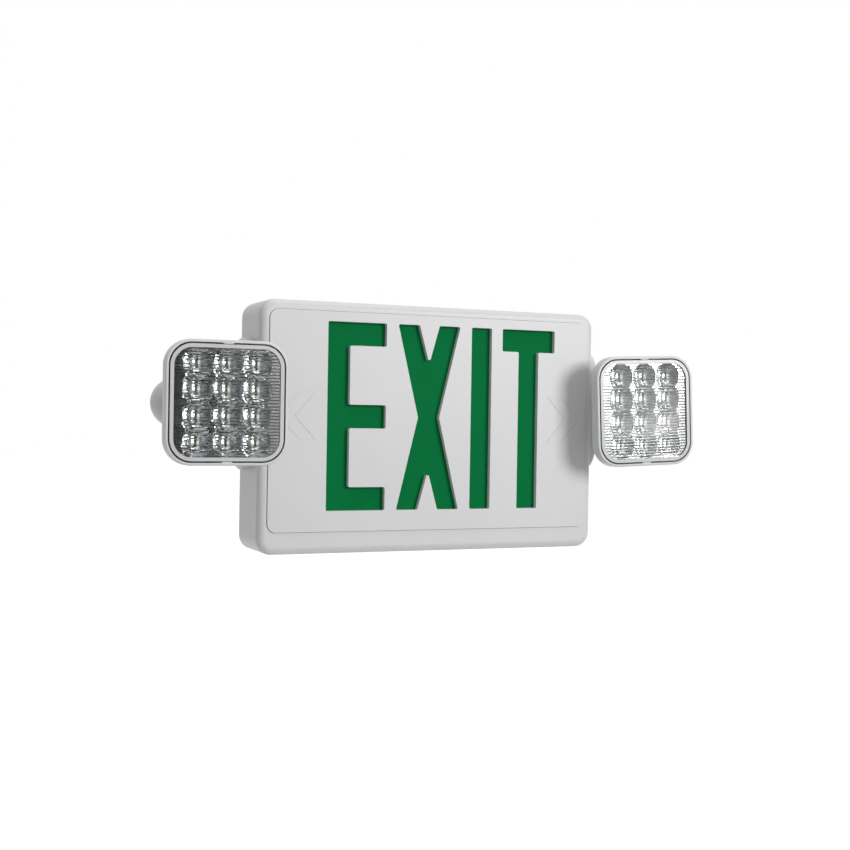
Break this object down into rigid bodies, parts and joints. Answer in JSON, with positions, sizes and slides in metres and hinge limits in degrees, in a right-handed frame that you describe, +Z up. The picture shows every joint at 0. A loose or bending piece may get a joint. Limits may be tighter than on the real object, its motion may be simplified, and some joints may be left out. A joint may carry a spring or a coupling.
{
  "type": "emergency exit light",
  "caption": "Wall exit sign in a white housing with a green panel behind its face and a square swivelling lamp head on each side.",
  "frame": {"origin": "centre of the back plate's wire entry, on the wall plane", "axes": "+Y into the wall, so the face looks along -Y; +X to the viewer's right; +Z up"},
  "size_m": [0.4647, 0.0906, 0.205],
  "materials": {
    "housing_white": "moulded white thermoplastic, fine satin texture",
    "face_white": "moulded white thermoplastic, fine satin texture",
    "legend_green": "translucent green diffuser sheet",
    "tray_white": "matt white moulding",
    "board_green": "solder-masked circuit board",
    "head_board_white": "white-coated aluminium circuit board",
    "emitter_yellow": "phosphor over a light-emitting diode",
    "fixing_steel": "zinc-plated steel",
    "core_steel": "varnished laminated core",
    "sleeve_black": "black plastic",
    "wrap_blue": "shrink-wrapped cells",
    "indicator_green": "clear green plastic",
    "button_red": "moulded red plastic",
    "reflector_bright": "vacuum-metallised plastic, mirror bright",
    "lens_clear": "clear polycarbonate, finely ribbed inside"
  },
  "bodies": {
    "root": {"back_plate": "housing_white", "front_cover": "housing_white", "face_plate": "face_white", "legend_panel": "legend_green", "light_tray": "tray_white", "sign_led_board": "board_green", "sign_leds": "emitter_yellow", "driver_board": "board_green", "board_screws": "fixing_steel", "transformer": "core_steel", "filter_capacitor": "sleeve_black", "battery_connector": "tray_white", "test_switch": "sleeve_black", "battery_pack": "wrap_blue", "battery_strap": "sleeve_black", "indicator_lens": "indicator_green", "lamp_base_left": "housing_white", "base_screws_left": "fixing_steel", "lamp_base_right": "housing_white", "base_screws_right": "fixing_steel"},
    "button": {"test_button": "button_red"},
    "arm_left": {"lamp_arm_left": "housing_white", "arm_collar_left": "housing_white", "pivot_pin_left": "fixing_steel"},
    "head_left": {"head_shell_left": "housing_white", "head_board_left": "head_board_white", "head_leds_left": "emitter_yellow", "head_reflector_left": "reflector_bright", "head_lens_left": "lens_clear"},
    "arm_right": {"lamp_arm_right": "housing_white", "arm_collar_right": "housing_white", "pivot_pin_right": "fixing_steel"},
    "head_right": {"head_shell_right": "housing_white", "head_board_right": "head_board_white", "head_leds_right": "emitter_yellow", "head_reflector_right": "reflector_bright", "head_lens_right": "lens_clear"}
  },
  "joints": [
    {"name": "arm_turn_left", "type": "hinge", "parent": "root", "child": "arm_left", "pos_m": [-0.151, -0.026, 0.018], "axis": [1, 0, 0], "range_deg": [-18, 18]},
    {"name": "head_swing_left", "type": "hinge", "parent": "arm_left", "child": "head_left", "pos_m": [-0.1855, -0.026, 0.018], "axis": [0, 0, -1], "range_deg": [-5, 35]},
    {"name": "arm_turn_right", "type": "hinge", "parent": "root", "child": "arm_right", "pos_m": [0.151, -0.026, 0.018], "axis": [1, 0, 0], "range_deg": [-18, 18]},
    {"name": "head_swing_right", "type": "hinge", "parent": "arm_right", "child": "head_right", "pos_m": [0.1855, -0.026, 0.018], "axis": [0, 0, 1], "range_deg": [-3, 37]},
    {"name": "button_press", "type": "slide", "parent": "root", "child": "button", "axis": [0, 0, 1], "range_m": [0, 0.0015], "stiffness_N_per_m": 400, "springref_m": -0.0005}
  ]
}
